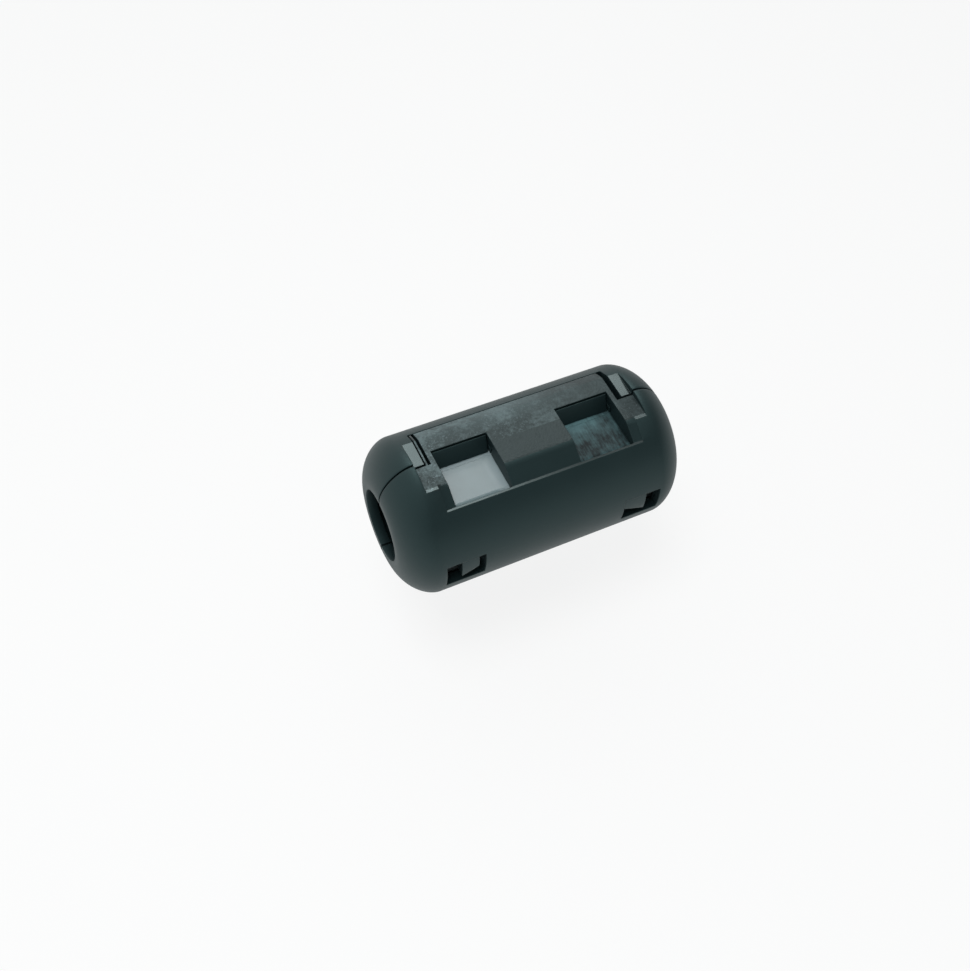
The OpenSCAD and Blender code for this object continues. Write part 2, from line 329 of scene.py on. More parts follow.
# The painted light near the seam, weaker towards the outer end, is added to the scuffs.
painted_light_outward = add(tree, "ShaderNodeMapRange",
              {"Value": place["X"], "From Min": 9 * mm, "From Max": 10.5 * mm, "To Min": 0.62,
               "To Max": 0.1})
scuffs_and_painted_light = add(tree, "ShaderNodeMath", {0: painted_light_to_seam, 1: painted_light_outward, 2: scuffs_and_painted_light}, operation="MULTIPLY_ADD")
scuffs_and_painted_light = add(tree, "ShaderNodeMapRange", {"Value": scuffs_and_painted_light, "From Min": 0.85, "From Max": 1.6})
scuffed_and_lit_tint = add(tree, "ShaderNodeMix",
              {"Factor": scuffs_and_painted_light, 6: linear("#161f21"), 7: linear("#4f6d71")}, data_type="RGBA")
worn_end = add(tree, "ShaderNodeMapRange",
               {"Value": place["X"], "From Min": 0, "From Max": worn_from})
tint = add(tree, "ShaderNodeMix",
           {"Factor": worn_end, 6: polished.outputs[2], 7: scuffed_and_lit_tint.outputs[2]}, data_type="RGBA")
print("fully worn past X =", round(worn_from / mm, 1), "mm")

# %% [markdown]
# The clean flat gets painted light along the seam and beside the bridge, a paler tone that lifts
# the shade of the catch and the bridge. Away from the flats the ferrite is almost black, inside
# the hole and behind the clips.

# %% Sintered ferrite: painted light at its edges, and its other faces
# Painted light: a paler tone along the seam and beside the bridge, at the clean end only.
painted_light_at_seam = add(tree, "ShaderNodeMapRange",
              {"Value": place["Y"], "From Min": -0.6 * mm, "From Max": 0.4 * mm})
from_middle = add(tree, "ShaderNodeMath", {0: place["X"]}, operation="ABSOLUTE")
painted_light_by_bridge = add(tree, "ShaderNodeMapRange",
                {"Value": from_middle, "From Min": 6 * mm, "From Max": bridge_half + 0.25 * mm})
painted_light_mask = add(tree, "ShaderNodeMath", {0: painted_light_at_seam, 1: painted_light_by_bridge}, operation="MAXIMUM")
painted_light_share = add(tree, "ShaderNodeMapRange", {"Value": worn_end, "To Min": 0.45, "To Max": 0})
painted_light_mask = add(tree, "ShaderNodeMath", {0: painted_light_mask, 1: painted_light_share}, operation="MULTIPLY")
tint = add(tree, "ShaderNodeMix",
           {"Factor": painted_light_mask, 6: tint.outputs[2], 7: linear("#a3b0b4")}, data_type="RGBA")
off_axis = add(tree, "ShaderNodeMath", {0: place["Z"]}, operation="ABSOLUTE")
on_flat = add(tree, "ShaderNodeMapRange",
              {"Value": off_axis, "From Min": core_flat - 0.4 * mm,
               "From Max": core_flat - 0.1 * mm})
tint = add(tree, "ShaderNodeMix",
           {"Factor": on_flat, 6: linear("#1c2425"), 7: tint.outputs[2]}, data_type="RGBA")
tree.links.new(tint.outputs[2], shader.inputs["Base Color"])
worn = add(tree, "ShaderNodeMath", {0: worn_end, 1: on_flat}, operation="MULTIPLY")
dull = add(tree, "ShaderNodeMapRange", {"Value": worn, "To Min": 0.45, "To Max": 0.65})
tree.links.new(dull.outputs[0], shader.inputs["Roughness"])
level = add(tree, "ShaderNodeMapRange", {"Value": worn, "To Min": 0.5, "To Max": 0.12})
tree.links.new(level.outputs[0], shader.inputs["Specular IOR Level"])
relief = add(tree, "ShaderNodeBump", {"Height": scuffs_and_painted_light, "Strength": 0.3, "Distance": 0.01 * mm})
tree.links.new(relief.outputs[0], shader.inputs["Normal"])
print("made", ferrite.name)

# %% [markdown]
# ## Growing a mesh from Geometry Nodes
# Shapes that follow a rule, or that come in pairs, are grown by Geometry Nodes trees with a named
# input for each size. Two functions start and end every such tree alike.

# %% Helpers: start and end a tree
def start_tree(name, sizes, counts=None):
    """A tree with a named input for each size and count, and one for the material."""
    tree = bpy.data.node_groups.new(name, "GeometryNodeTree")
    tree.interface.new_socket("Geometry", in_out="OUTPUT", socket_type="NodeSocketGeometry")
    for kind, values in (("NodeSocketFloat", sizes), ("NodeSocketInt", counts or {})):
        for label, value in values.items():
            socket = tree.interface.new_socket(label, in_out="INPUT", socket_type=kind)
            socket.default_value = value
    tree.interface.new_socket("Material", in_out="INPUT", socket_type="NodeSocketMaterial")
    return tree, add(tree, "NodeGroupInput").outputs


def end_tree(tree, geometry, material):
    """Every tree ends alike: real geometry with its material set."""
    real = add(tree, "GeometryNodeRealizeInstances", {"Geometry": geometry})
    dressed = add(tree, "GeometryNodeSetMaterial", {"Geometry": real, "Material": material})
    add(tree, "NodeGroupOutput", {"Geometry": dressed})
    print("built the tree", tree.name, "with", len(tree.nodes), "nodes")


# %% [markdown]
# An object with a Geometry Nodes modifier runs a tree. The inputs are set by their identifiers,
# Blender evaluates the result, and that is kept as a plain mesh, so no modifier is left behind.

# %% Helpers: run a tree and keep its mesh
def settle(piece):
    """Turns what a piece's modifiers make into its plain mesh."""
    seen = piece.evaluated_get(bpy.context.evaluated_depsgraph_get())
    mesh = bpy.data.meshes.new_from_object(seen)
    piece.modifiers.clear()
    piece.data = mesh
    return piece


def grow(name, tree, material=None, sizes=None):
    """Runs a tree, with its own values for the sizes not given, and keeps the plain mesh."""
    piece = bpy.data.objects.new(name, bpy.data.meshes.new(name))
    bpy.context.scene.collection.objects.link(piece)
    modifier = piece.modifiers.new(tree.name, "NODES")
    modifier.node_group = tree
    chosen = dict(sizes or {}, Material=material)
    for item in tree.interface.items_tree:
        if item.in_out == "INPUT" and chosen.get(item.name) is not None:
            modifier[item.identifier] = chosen[item.name]
    return settle(piece)


print("helpers: settle and grow")

# %% [markdown]
# ## The round body
# Both shells share one outside, a round bar whose ends turn in along a soft superellipse, a curve
# between a quarter circle and a chamfer. A tree lays points along the axis and works out each
# one's place and radius from that rule. Counted from the middle, a point's number gives its end
# of the bar, as a sign, and its share of the corner's quarter turn.

# %% Geometry Nodes: the rule for the round body
round_body, inp = start_tree(
    "Round body",
    {"Length": body_len, "Radius": body_r, "Corner Length": 4 * mm,
     "Corner Depth": 4.6 * mm, "Corner Power": 1.74},
    {"Corner Steps": 28, "Sides": 144},
)
tree = round_body
count = add(tree, "ShaderNodeMath", {0: inp["Corner Steps"], 1: 2, 2: 2}, operation="MULTIPLY_ADD")
middle = add(tree, "ShaderNodeMath", {0: inp["Corner Steps"], 1: 0.5}, operation="ADD")
offset = add(tree, "ShaderNodeMath",
             {0: add(tree, "GeometryNodeInputIndex"), 1: middle}, operation="SUBTRACT")
end_sign = add(tree, "ShaderNodeMath", {0: offset}, operation="SIGN")
ring = add(tree, "ShaderNodeMath",
           {0: add(tree, "ShaderNodeMath", {0: offset}, operation="ABSOLUTE"), 1: 0.5},
           operation="SUBTRACT")
share = add(tree, "ShaderNodeMath", {0: ring, 1: inp["Corner Steps"]}, operation="DIVIDE")
turn = add(tree, "ShaderNodeMath", {0: share, 1: math.pi / 2}, operation="MULTIPLY")
exponent = add(tree, "ShaderNodeMath", {0: 2, 1: inp["Corner Power"]}, operation="DIVIDE")
sine = add(tree, "ShaderNodeMath", {0: turn}, operation="SINE")
cosine = add(tree, "ShaderNodeMath", {0: turn}, operation="COSINE")
cosine = add(tree, "ShaderNodeMath", {0: cosine, 1: 0}, operation="MAXIMUM")
along = add(tree, "ShaderNodeMath", {0: sine, 1: exponent}, operation="POWER")
across = add(tree, "ShaderNodeMath", {0: cosine, 1: exponent}, operation="POWER")
along = add(tree, "ShaderNodeMath", {0: 1, 1: along}, operation="SUBTRACT")
across = add(tree, "ShaderNodeMath", {0: 1, 1: across}, operation="SUBTRACT")
print("the rule takes", len(tree.nodes), "nodes")

# %% [markdown]
# The two shares now become millimetres: how far a point stands in from its end, and how much its
# radius drops. The points go there, and a circle swept along them, scaled at each, is the body.

# %% Geometry Nodes: sweep the round body
half_len = add(tree, "ShaderNodeMath", {0: inp["Length"], 1: 0.5}, operation="MULTIPLY")
inset = add(tree, "ShaderNodeMath", {0: along, 1: inp["Corner Length"]}, operation="MULTIPLY")
reach = add(tree, "ShaderNodeMath", {0: half_len, 1: inset}, operation="SUBTRACT")
place_x = add(tree, "ShaderNodeMath", {0: reach, 1: end_sign}, operation="MULTIPLY")
drop = add(tree, "ShaderNodeMath", {0: across, 1: inp["Corner Depth"]}, operation="MULTIPLY")
radius = add(tree, "ShaderNodeMath", {0: inp["Radius"], 1: drop}, operation="SUBTRACT")
axis = add(tree, "GeometryNodeCurvePrimitiveLine", {"Start": (-1, 0, 0), "End": (1, 0, 0)})
axis = add(tree, "GeometryNodeResampleCurve", {"Curve": axis, "Count": count})
axis = add(tree, "GeometryNodeSetPosition",
           {"Geometry": axis, "Position": add(tree, "ShaderNodeCombineXYZ", {"X": place_x})})
circle = add(tree, "GeometryNodeCurvePrimitiveCircle", {"Resolution": inp["Sides"], "Radius": 1})
swept = add(tree, "GeometryNodeCurveToMesh",
            {"Curve": axis, "Profile Curve": circle.outputs[0], "Scale": radius, "Fill Caps": True})
end_tree(tree, swept, inp["Material"])

# %% [markdown]
# ## Punches that come in pairs
# The moulding tool forms the latch windows and the clip windows with pins, the same at both ends.
# One tree makes any such pair: a block, placed on two points on either side of the middle.

# %% Geometry Nodes: a pair of punches
punch_pair, inp = start_tree(
    "Pair of punches",
    {"Inner End": 0, "Width": mm, "Low Y": 0, "High Y": mm, "Low Z": 0, "High Z": mm},
)
tree = punch_pair
size_y = add(tree, "ShaderNodeMath", {0: inp["High Y"], 1: inp["Low Y"]}, operation="SUBTRACT")
size_z = add(tree, "ShaderNodeMath", {0: inp["High Z"], 1: inp["Low Z"]}, operation="SUBTRACT")
size = add(tree, "ShaderNodeCombineXYZ", {0: inp["Width"], 1: size_y, 2: size_z})
punch = add(tree, "GeometryNodeMeshCube", {"Size": size})
mid_x = add(tree, "ShaderNodeMath",
            {0: inp["Width"], 1: 0.5, 2: inp["Inner End"]}, operation="MULTIPLY_ADD")
mid_y = add(tree, "ShaderNodeMath", {0: size_y, 1: 0.5, 2: inp["Low Y"]}, operation="MULTIPLY_ADD")
mid_z = add(tree, "ShaderNodeMath", {0: size_z, 1: 0.5, 2: inp["Low Z"]}, operation="MULTIPLY_ADD")
left_x = add(tree, "ShaderNodeMath", {0: mid_x, 1: -1}, operation="MULTIPLY")
near_point = add(tree, "ShaderNodeCombineXYZ", {0: left_x, 1: mid_y, 2: mid_z})
far_point = add(tree, "ShaderNodeCombineXYZ", {0: mid_x, 1: mid_y, 2: mid_z})
points = add(tree, "GeometryNodeMeshLine",
             {"Count": 2, "Start Location": near_point, "Offset": far_point}, mode="END_POINTS")
pair = add(tree, "GeometryNodeInstanceOnPoints", {"Points": points, "Instance": punch})
end_tree(tree, pair, inp["Material"])

# %% [markdown]
# ## Plain blocks, bars and wedges
# The rest of the tool is simple solids: blocks, round bars and a few wedges. A wedge is two loops
# of points joined by faces, which also makes the slanted catches and the tapering clips.

# %% Helpers: solids
def solid(name, first, last):
    """A closed solid between two loops of points with as many points each."""
    shape = bmesh.new()
    loops = [[shape.verts.new(p) for p in loop] for loop in (first, last)]
    shape.faces.new(loops[0])
    shape.faces.new(loops[1])
    for i in range(len(first)):
        j = (i + 1) % len(first)
        shape.faces.new((loops[0][i], loops[0][j], loops[1][j], loops[1][i]))
    bmesh.ops.recalc_face_normals(shape, faces=shape.faces)
    mesh = bpy.data.meshes.new(name)
    shape.to_mesh(mesh)
    shape.free()
    piece = bpy.data.objects.new(name, mesh)
    bpy.context.scene.collection.objects.link(piece)
    return piece


def block(low, high):
    """A block between its lowest and highest corner."""
    ends = [[(x, low[1], low[2]), (x, high[1], low[2]), (x, high[1], high[2]), (x, low[1], high[2])]
            for x in (low[0], high[0])]
    return solid("block", *ends)


def bar(r, half_len, sides=96):
    """A round bar along X, centred on the cable's axis."""
    turns = [2 * math.pi * i / sides for i in range(sides)]
    ends = [[(x, r * math.cos(t), r * math.sin(t)) for t in turns] for x in (-half_len, half_len)]
    return solid("bar", *ends)


print("helpers: solid, block and bar")

# %% [markdown]
# A Boolean modifier cuts one solid from another. Its exact solver copes with faces that touch.
# Tools that cut right through reach to the value far, which is well outside the bead.

# %% Helper: carving
far = 2 * body_len


def carve(piece, tool, operation="DIFFERENCE"):
    """Cuts a tool from a piece, keeps only what they share or joins them, then drops the tool."""
    modifier = piece.modifiers.new("carve", "BOOLEAN")
    modifier.operation, modifier.solver, modifier.object = operation, "EXACT", tool
    settle(piece)
    bpy.data.objects.remove(tool)
    return piece


print("tools reach", round(far / mm, 1), "mm out")

# %% [markdown]
# ## The hollow for the core
# Inside, both shells have the same hollow: a seat with two flats for the core, a wider chamber
# past each end of it, and the hole for the cable. One function makes this tool for each shell.

# %% The tool for the hollow
core_fit = 0.15 * mm
seat_r, seat_flat = core_r + core_fit, core_flat + core_fit
cable_r, chamber_r, end_wall = 4.5 * mm, 6.5 * mm, 1.3 * mm


def hollow():
    """The inside of the closed bead: seat, chambers and cable hole."""
    seat = bar(seat_r, core_half_len, 120)
    carve(seat, block((-far, -far, -seat_flat), (far, far, seat_flat)), "INTERSECT")
    carve(seat, bar(chamber_r, body_len / 2 - end_wall), "UNION")
    return carve(seat, bar(cable_r, body_len / 2 + mm), "UNION")


print("seat for the core:", round(2 * seat_r / mm, 2), "mm across")

# %% [markdown]
# ## Clips that hold the core
# Each shell's side wall has two windows, and in each a tapering clip hangs from the upper edge
# and presses on the core. At the near end a gap parts the clip from the window's inner side,
# and at the far end there is none. Leaving the clips out of the windows' punches keeps them
# standing as part of the moulding.

# %% The punches of the clip windows
clip_window_len, clip_window_h = 4.9 * mm, 3.7 * mm
clip_window_start = core_half_len - 0.9 * mm - clip_window_len
clip_len, clip_gap, clip_sink = 3 * mm, 0.8 * mm, 0.1 * mm
clip_short, clip_long, overlap = 1.5 * mm, 2.9 * mm, 0.01 * mm


def clip(side, end):
    """One clip: it hangs from its window's top edge, and its face follows the round body."""
    top, inner = clip_window_h / 2, side * (seat_r - core_fit / 3)
    gap = clip_gap if end < 0 else -overlap
    loops = []
    for past_start in (gap, clip_len):
        x = end * (clip_window_start + past_start)
        low = top - clip_short - (clip_long - clip_short) * past_start / clip_len
        loops.append([(x, inner, low), (x, side * far, low),
                      (x, side * far, top + mm), (x, inner, top + mm)])
    return carve(solid("clip", *loops), bar(body_r - clip_sink, far, 144), "INTERSECT")


def clip_windows(side):
    """The punches of both clip windows in one shell, less the clips that they leave standing."""
    wall = sorted((side * (seat_r - 2 * mm), side * far))
    windows = grow("clip windows", punch_pair, None,
                   {"Inner End": clip_window_start, "Width": clip_window_len,
                    "Low Y": wall[0], "High Y": wall[1],
                    "Low Z": -clip_window_h / 2, "High Z": clip_window_h / 2})
    for end in (-1, 1):
        carve(windows, clip(side, end))
    return windows


print("clip windows start", round(clip_window_start / mm, 2), "mm off the middle")

# %% [markdown]
# ## The flats on both sides
# On the latch side both shells share a flat land, a little wider than the tongue and its slots. On
# the hinge side another flat runs the whole length, with a groove in which the hinge webs fold.

# %% The flats and the hinge groove
facet_w = 1.35 * mm
hinge_z, groove_z, groove_half = 0.3 * mm - hinge_land, 0.9 * mm - hinge_land, 1.6 * mm


def lands(piece):
    """Flattens the body on the latch side and the hinge side, and cuts the hinge groove."""
    land_half = slot_half + facet_w
    carve(piece, block((-land_half, -far, latch_land), (land_half, far, far)))
    carve(piece, block((-far, -far, -far), (far, far, -hinge_land)))
    return carve(piece, block((-far, -groove_half, -far), (far, groove_half, groove_z)))


print("latch land at", round(latch_land / mm, 2), "mm, hinge land at", round(-hinge_land / mm, 2))

# %% [markdown]
# ## The base shell
# The base is the half that carries the tongue. What belongs to it is gathered as one region, a
# half space with two blocks joined on: the tongue, and a thin rib that stands in the near slot
# only. The round body is kept only there. Then the hollow and the two latch windows are cut.

# %% Carve the base shell
half_gap = 0.1 * mm
tongue_under = latch_land - 1.35 * mm
rib_w, rib_gap = 0.25 * mm, 0.12 * mm
rib_x = rib_gap - slot_half

base = lands(grow("base_shell_moulding", round_body))
region = block((-far, -far, -far), (far, -half_gap, far))
for low_x, high_x, reach_y in ((-tongue_half, tongue_half, tongue_reach),
                               (rib_x, rib_x + rib_w, tongue_reach - tip_gap)):
    carve(region, block((low_x, -2 * half_gap, tongue_under), (high_x, reach_y, far / 2)), "UNION")
carve(base, region, "INTERSECT")
carve(base, hollow())
carve(base, grow("latch windows", punch_pair, None,
                 {"Inner End": bridge_half, "Width": window_w, "Low Y": -window_down,
                  "High Y": window_up, "Low Z": seat_flat - mm, "High Z": far}))
print("base shell so far:", len(base.data.polygons), "faces")

# %% [markdown]
# Below the windows a wide face slants down to a narrow ledge, which runs along the windows' foot.
# The fold where the slant leaves the land is soft: an arc of a few steps, tangent to both. One
# profile of points, drawn from the ledge up, is stretched along X and cut away as a wedge.

# %% Slant the base below the windows
ledge_w, slant_angle, slant_margin = 0.35 * mm, math.radians(32), 1.2 * mm
ledge_z = math.sqrt(body_r**2 - (window_down + ledge_w) ** 2)
slant_half = bridge_half + window_w + slant_margin
fold_y = (latch_land - ledge_z) / math.tan(slant_angle) - window_down
fold_reach, fold_turns, clearance = 0.5 * mm, 6, 0.002 * mm
fold_r = fold_reach / math.tan(slant_angle / 2)
angles = [slant_angle * (1 - i / fold_turns) for i in range(fold_turns + 1)]
profile = [(-far, far), (-far, ledge_z), (-window_down, ledge_z)]
profile += [(fold_y + fold_reach - fold_r * math.sin(t), latch_land - fold_r * (1 - math.cos(t)))
            for t in angles]
profile[-1] = (fold_y + fold_reach, latch_land + clearance)
profile.append((fold_y + fold_reach, far))
carve(base, solid("slant", *[[(x, y, z) for y, z in profile] for x in (-slant_half, slant_half)]))
carve(base, clip_windows(-1))
print("base shell:", len(base.data.polygons), "faces, ledge at", round(ledge_z / mm, 2), "mm")

# %% [markdown]
# ## The cover shell
# The cover is the other half. A pocket takes the tongue, and inside each latch window a catch
# stays standing: slanted in front, so that the tongue rides up over it, and square at the back,
# where it holds. Leaving the catches out of the pocket's punch keeps them part of the moulding.

# %% Carve the cover shell
cover = lands(grow("cover_shell_moulding", round_body))
carve(cover, block((-far, half_gap, -far), (far, far, far)), "INTERSECT")
carve(cover, hollow())
under_gap, catch_fit, catch_foot, catch_tip = 0.15 * mm, 0.1 * mm, 0.4 * mm, 0.15 * mm
catch_top, catch_back = latch_land - 0.2 * mm, window_up - catch_fit
foot = tongue_under - under_gap
pocket = block((-slot_half, -mm, foot), (slot_half, tongue_reach + tip_gap, far))
carve(pocket, grow("catch wells", punch_pair, None,
                   {"Inner End": bridge_half, "Width": window_w, "Low Y": -mm / 2,
                    "High Y": catch_back, "Low Z": seat_flat - mm, "High Z": foot + mm}), "UNION")
for end in (-1, 1):
    profile = [(catch_foot, seat_flat), (catch_back - catch_tip, catch_top),
               (catch_back, catch_top), (catch_back, foot), (catch_back + mm / 2, foot - mm / 2),
               (catch_back, seat_flat - 2 * mm), (catch_foot, seat_flat - 2 * mm)]
    sides = (end * (bridge_half + catch_fit), end * (bridge_half + window_w - catch_fit))
    carve(pocket, solid("catch", *[[(x, y, z) for y, z in profile] for x in sides]))
carve(cover, pocket)
carve(cover, clip_windows(1))
print("cover shell:", len(cover.data.polygons), "faces")

# %% [markdown]
# ## Edges that catch the light
# Boolean cuts leave doubled points and lines across flat faces. Both go first, because they would
# spoil the rounding of the edges.

# %% Helper: clean a carved mesh
def clean(piece):
    """Merges doubled points and clears the lines that cross flat faces."""
    shape = bmesh.new()
    shape.from_mesh(piece.data)
    bmesh.ops.remove_doubles(shape, verts=shape.verts, dist=0.002 * mm)
    bmesh.ops.dissolve_limit(shape, angle_limit=math.radians(0.3), verts=shape.verts,
                             edges=shape.edges, delimit={"MATERIAL"})
    open_edges = sum(not edge.is_manifold for edge in shape.edges)
    shape.to_mesh(piece.data)
    shape.free()
    print(piece.name, "has", len(piece.data.polygons), "faces,", open_edges, "open edges")


# %% [markdown]
# A moulded edge is never knife-sharp. Each crease gets a weight, a Bevel modifier rounds it by
# about a tenth of a millimetre times that weight, and a Weighted Normal modifier keeps the flats
# looking flat. The end walls of the slanted face thin out to nothing, where a rounded edge would
# be wider than its wall and stick out as a thorn, so their weight is 0.

# %% Round the edges of the shells
crease = math.radians(15)
shell_edge, tolerance = 0.075 * mm, 0.01 * mm


def soften(piece, width, weigh, segments=2):
    """Rounds the creases by width times weigh(point, point) of each edge's two ends."""
    clean(piece)
    shape = bmesh.new()
    shape.from_mesh(piece.data)
    weight = shape.edges.layers.float.new("bevel_weight_edge")
    for face in shape.faces:
        face.smooth = True
    for edge in shape.edges:
        if edge.is_manifold and edge.calc_face_angle() > crease:
            edge[weight] = weigh(*[v.co for v in edge.verts])
    shape.to_mesh(piece.data)
    shape.free()
    bevel = piece.modifiers.new("rounded edges", "BEVEL")
    bevel.limit_method, bevel.width, bevel.segments = "WEIGHT", width, segments
    bevel.use_clamp_overlap = False
    piece.modifiers.new("flat flats", "WEIGHTED_NORMAL")


def off_slant_ends(a, b):
    """0 along the end walls of the slanted face and 1 elsewhere."""
    at_end = abs(abs(a.x) - slant_half) < tolerance and abs(a.x - b.x) < tolerance
    return 0 if at_end else 1


for shell in (base, cover):
    soften(shell, shell_edge, off_slant_ends)

# %% [markdown]
# ## Which face gets which finish
# The three finishes meet exactly at the edges of the steel that made them, so each face of a shell
# is given its material by where it lies, not by a painted mask.

# %% Give the shells their finishes
upright, at_level, at_wall = 0.99, 0.02 * mm, 0.05 * mm


def finish_faces(piece, finishes, choose):
    """Sets each face's material: choose gives its number for the face's middle and normal."""
    piece.data.materials.clear()
    for material in finishes:
        piece.data.materials.append(material)
    for face in piece.data.polygons:
        face.material_index = choose(face.center, face.normal)
    used = [face.material_index for face in piece.data.polygons]
    print(piece.name, {m.name: used.count(i) for i, m in enumerate(finishes)})


def is_flat_at(height, middle, normal):
    """True for a level face at this height."""
    return normal.z > upright and abs(middle.z - height) < at_level


def base_finish(middle, normal):
    """2 on the ledge and on the rib's outside, 1 on the land and on the tongue, 0 elsewhere."""
    on_curve = (middle.y > 0 and math.hypot(middle.y, middle.z) > body_r - at_wall
                and abs(middle.x) < slot_half)
    on_top = is_flat_at(latch_land, middle, normal) or on_curve
    on_rib = rib_x - at_wall < middle.x < rib_x + rib_w + at_wall and middle.y > -half_gap
    if (is_flat_at(ledge_z, middle, normal) and middle.y < 0) or (on_top and on_rib):
        return 2
    return 1 if on_top else 0


def cover_finish(middle, normal):
    """1 on the cover's two flat facets, 0 elsewhere."""
    return 1 if is_flat_at(latch_land, middle, normal) else 0


finish_faces(base, [satin_nylon, eroded_nylon, polished_nylon], base_finish)
finish_faces(cover, [satin_nylon, polished_nylon], cover_finish)

# %% [markdown]
# ## The ferrite core
# Each shell holds half of the core, a round bar with two flats and a hole. The halves differ only
# in the side they are on, so one tree makes both: a cylinder is kept where it meets a block, and
# a second cylinder is taken out.

# %% Geometry Nodes: half of the core
core_half, inp = start_tree(
    "Core half",
    {"Length": 2 * core_half_len, "Radius": core_r, "Flat Height": core_flat,
     "Bore Radius": 4.8 * mm, "Half Gap": core_half_gap, "Side": 1},
    {"Sides": 120},
)
tree = core_half
lying = (0, math.pi / 2, 0)
outside = add(tree, "GeometryNodeMeshCylinder",
              {"Vertices": inp["Sides"], "Radius": inp["Radius"], "Depth": inp["Length"]})
outside = add(tree, "GeometryNodeTransform", {"Geometry": outside, "Rotation": lying})
longer = add(tree, "ShaderNodeMath", {0: inp["Length"], 1: 1.2}, operation="MULTIPLY")
bore = add(tree, "GeometryNodeMeshCylinder",
           {"Vertices": inp["Sides"], "Radius": inp["Bore Radius"], "Depth": longer})
bore = add(tree, "GeometryNodeTransform", {"Geometry": bore, "Rotation": lying})
depth = add(tree, "ShaderNodeMath", {0: inp["Radius"], 1: 1.1}, operation="MULTIPLY")
height = add(tree, "ShaderNodeMath", {0: inp["Flat Height"], 1: 2}, operation="MULTIPLY")
keep = add(tree, "GeometryNodeMeshCube",
           {"Size": add(tree, "ShaderNodeCombineXYZ", {0: longer, 1: depth, 2: height})})
middle = add(tree, "ShaderNodeMath",
             {0: depth, 1: 0.5, 2: inp["Half Gap"]}, operation="MULTIPLY_ADD")
middle = add(tree, "ShaderNodeMath", {0: middle, 1: inp["Side"]}, operation="MULTIPLY")
keep = add(tree, "GeometryNodeTransform",
           {"Geometry": keep, "Translation": add(tree, "ShaderNodeCombineXYZ", {1: middle})})
half = add(tree, "GeometryNodeMeshBoolean",
           {"Mesh 2": outside}, operation="INTERSECT", solver="EXACT")
tree.links.new(keep.outputs[0], half.inputs["Mesh 2"])
half = add(tree, "GeometryNodeMeshBoolean",
           {"Mesh 1": half, "Mesh 2": bore}, operation="DIFFERENCE", solver="EXACT")
end_tree(tree, half, inp["Material"])

# %% [markdown]
# Tumbling in the factory rounds a core's edges, so the same Bevel goes on both halves, wider than
# on the shells. Only the edges where the halves meet stay crisp, because those faces are ground.

# %% Make both halves of the core
core_edge, ground_share = 0.3 * mm, 0.1


def off_meeting_face(a, b):
    """A small share for the edges where the halves meet, and 1 elsewhere."""
    return ground_share if max(abs(a.y), abs(b.y)) < 0.1 * mm else 1


cores = {}
for name, side in (("base", -1), ("cover", 1)):
    cores[name] = grow(name + "_core_half", core_half, ferrite, {"Side": side})
    soften(cores[name], core_edge, off_meeting_face, segments=3)

# %% [markdown]
# ## The living hinge
# Two thin webs join the shells under the bead, and they fold like the spine of a book each time
# the cover opens. A tree bends a line into the folded shape, sweeps a flat band along it, and
# places the band twice. The webs cross the joint between the shells.

# %% Geometry Nodes: the hinge webs
web_reach, web_angle, web_bow = 0.95 * mm, math.radians(55), (0, 0, -0.1 * mm)
hinge_webs, inp = start_tree(
    "Hinge webs",
    {"Web Width": 6 * mm, "Web Thickness": 0.3 * mm, "Pitch": 14 * mm, "Reach": web_reach,
     "Slope": web_angle, "Hinge Height": hinge_z},
    {"Steps": 24},
)
tree = hinge_webs
sine = add(tree, "ShaderNodeMath", {0: inp["Slope"]}, operation="SINE")
rise = add(tree, "ShaderNodeMath", {0: sine, 1: inp["Reach"]}, operation="MULTIPLY")
cosine = add(tree, "ShaderNodeMath", {0: inp["Slope"]}, operation="COSINE")
run = add(tree, "ShaderNodeMath", {0: cosine, 1: inp["Reach"]}, operation="MULTIPLY")
back = add(tree, "ShaderNodeMath", {0: run, 1: -1}, operation="MULTIPLY")
base_root = add(tree, "ShaderNodeCombineXYZ", {1: back, 2: rise})
cover_root = add(tree, "ShaderNodeCombineXYZ", {1: run, 2: rise})
fold = add(tree, "GeometryNodeCurvePrimitiveBezierSegment",
           {"Resolution": inp["Steps"], "Start": base_root, "Start Handle": web_bow,
            "End Handle": web_bow, "End": cover_root})
band = add(tree, "GeometryNodeCurvePrimitiveQuadrilateral",
           {"Width": inp["Web Width"], "Height": inp["Web Thickness"]})
web = add(tree, "GeometryNodeCurveToMesh",
          {"Curve": fold, "Profile Curve": band, "Fill Caps": True})
half_pitch = add(tree, "ShaderNodeMath", {0: inp["Pitch"], 1: 0.5}, operation="MULTIPLY")
near_end = add(tree, "ShaderNodeMath", {0: half_pitch, 1: -1}, operation="MULTIPLY")
near_point = add(tree, "ShaderNodeCombineXYZ", {0: near_end, 2: inp["Hinge Height"]})
far_point = add(tree, "ShaderNodeCombineXYZ", {0: half_pitch, 2: inp["Hinge Height"]})
places = add(tree, "GeometryNodeMeshLine",
             {"Count": 2, "Start Location": near_point, "Offset": far_point}, mode="END_POINTS")
pair = add(tree, "GeometryNodeInstanceOnPoints", {"Points": places, "Instance": web})
end_tree(tree, pair, inp["Material"])
webs = grow("hinge_webs", hinge_webs, satin_nylon)
low, high = [[f(v.co[i] for v in webs.data.vertices) for i in range(3)] for f in (min, max)]
print("hinge webs from", [round(c / mm, 2) for c in low], "to", [round(c / mm, 2) for c in high])

# %% [markdown]
# ## What rides on what
# The base stands still and the cover turns about the hinge line. Each shell and each half of the
# core rides on its body and stands for its CAD node. The webs keep their place, baked into their
# mesh.

# %% Attach the pieces
for name, shell in (("base", base), ("cover", cover)):
    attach(shell, name)
    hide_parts(name + "_shell")
    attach(cores[name], name)
    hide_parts(name + "_core")
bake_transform(webs)

